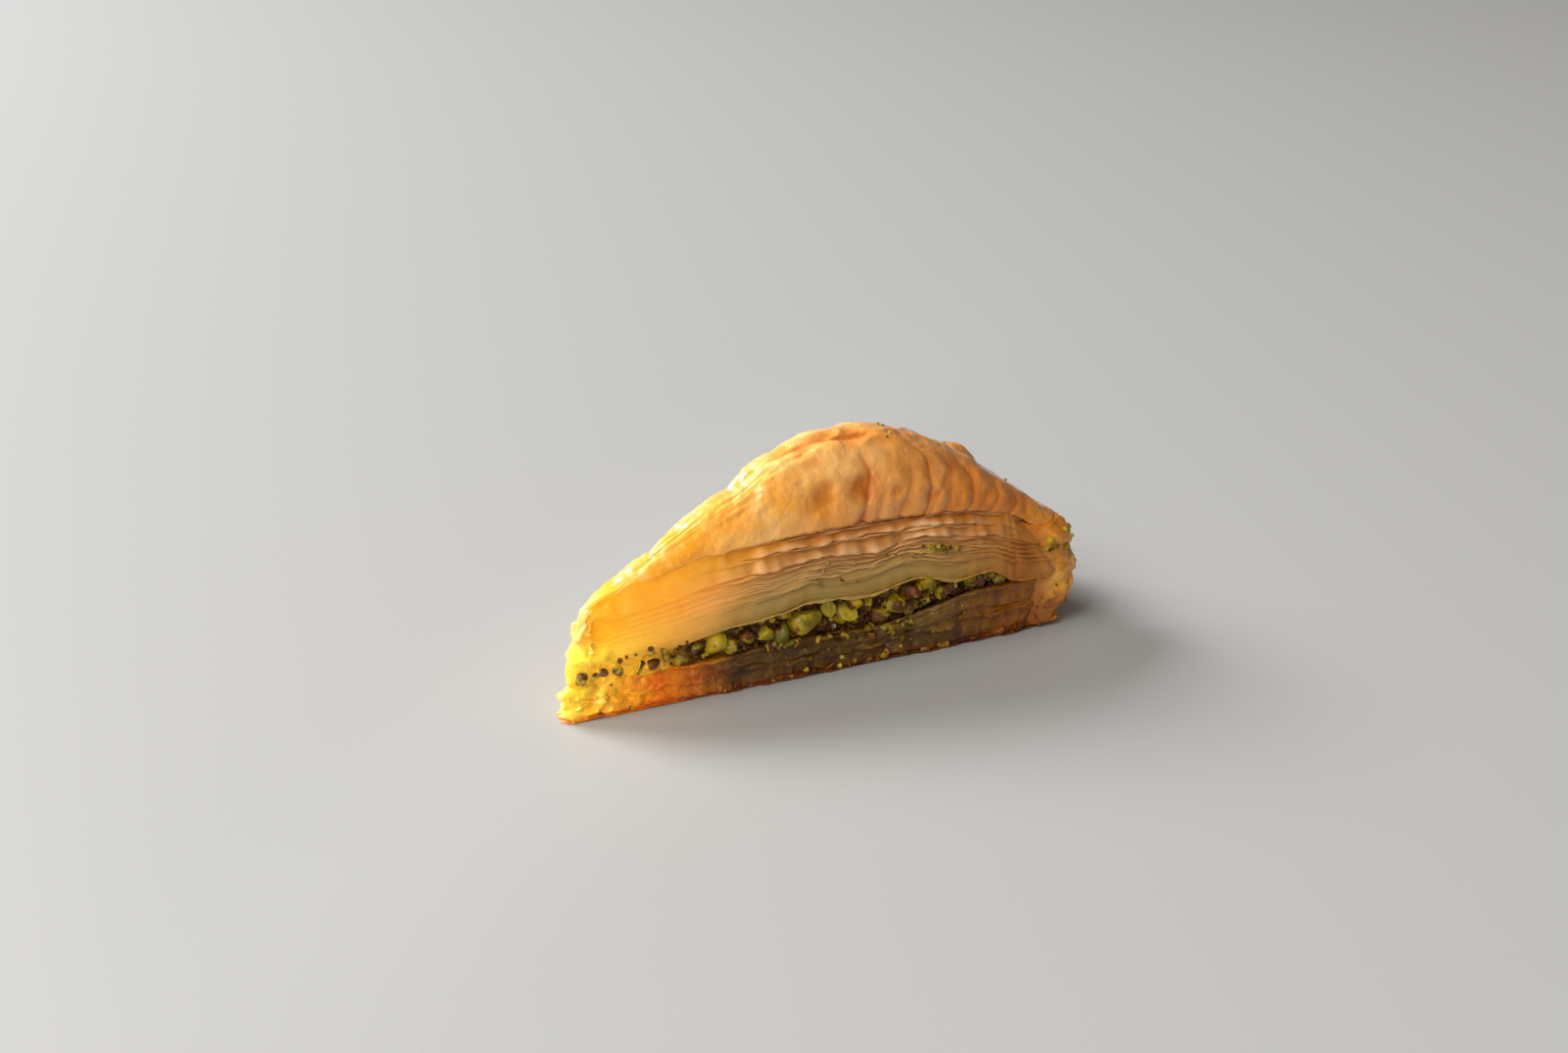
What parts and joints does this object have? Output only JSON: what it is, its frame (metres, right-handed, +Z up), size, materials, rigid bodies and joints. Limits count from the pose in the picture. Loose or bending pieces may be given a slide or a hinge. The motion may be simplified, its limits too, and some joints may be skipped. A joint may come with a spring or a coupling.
{
  "type": "baklava piece",
  "caption": "Wedge of pistachio baklava cut from a round tray: puffed golden crust over a chopped nut filling and a syrup-soaked pastry base.",
  "frame": {"origin": "middle of the flat underside's bounding box", "axes": "+X along the front cut face, from the narrow tip to the wide end; +Y to the back; +Z up"},
  "size_m": [0.1326, 0.046, 0.0516],
  "materials": {
    "soaked_pastry": "wet, syrup-soaked layers",
    "pistachio": "chopped nuts, matt cut faces and dark skins",
    "baked_pastry": "glossy syrup over baked golden crust"
  },
  "bodies": {
    "root": {"lower_pastry": "soaked_pastry", "nut_filling": "pistachio", "upper_pastry": "baked_pastry"}
  },
  "joints": []
}
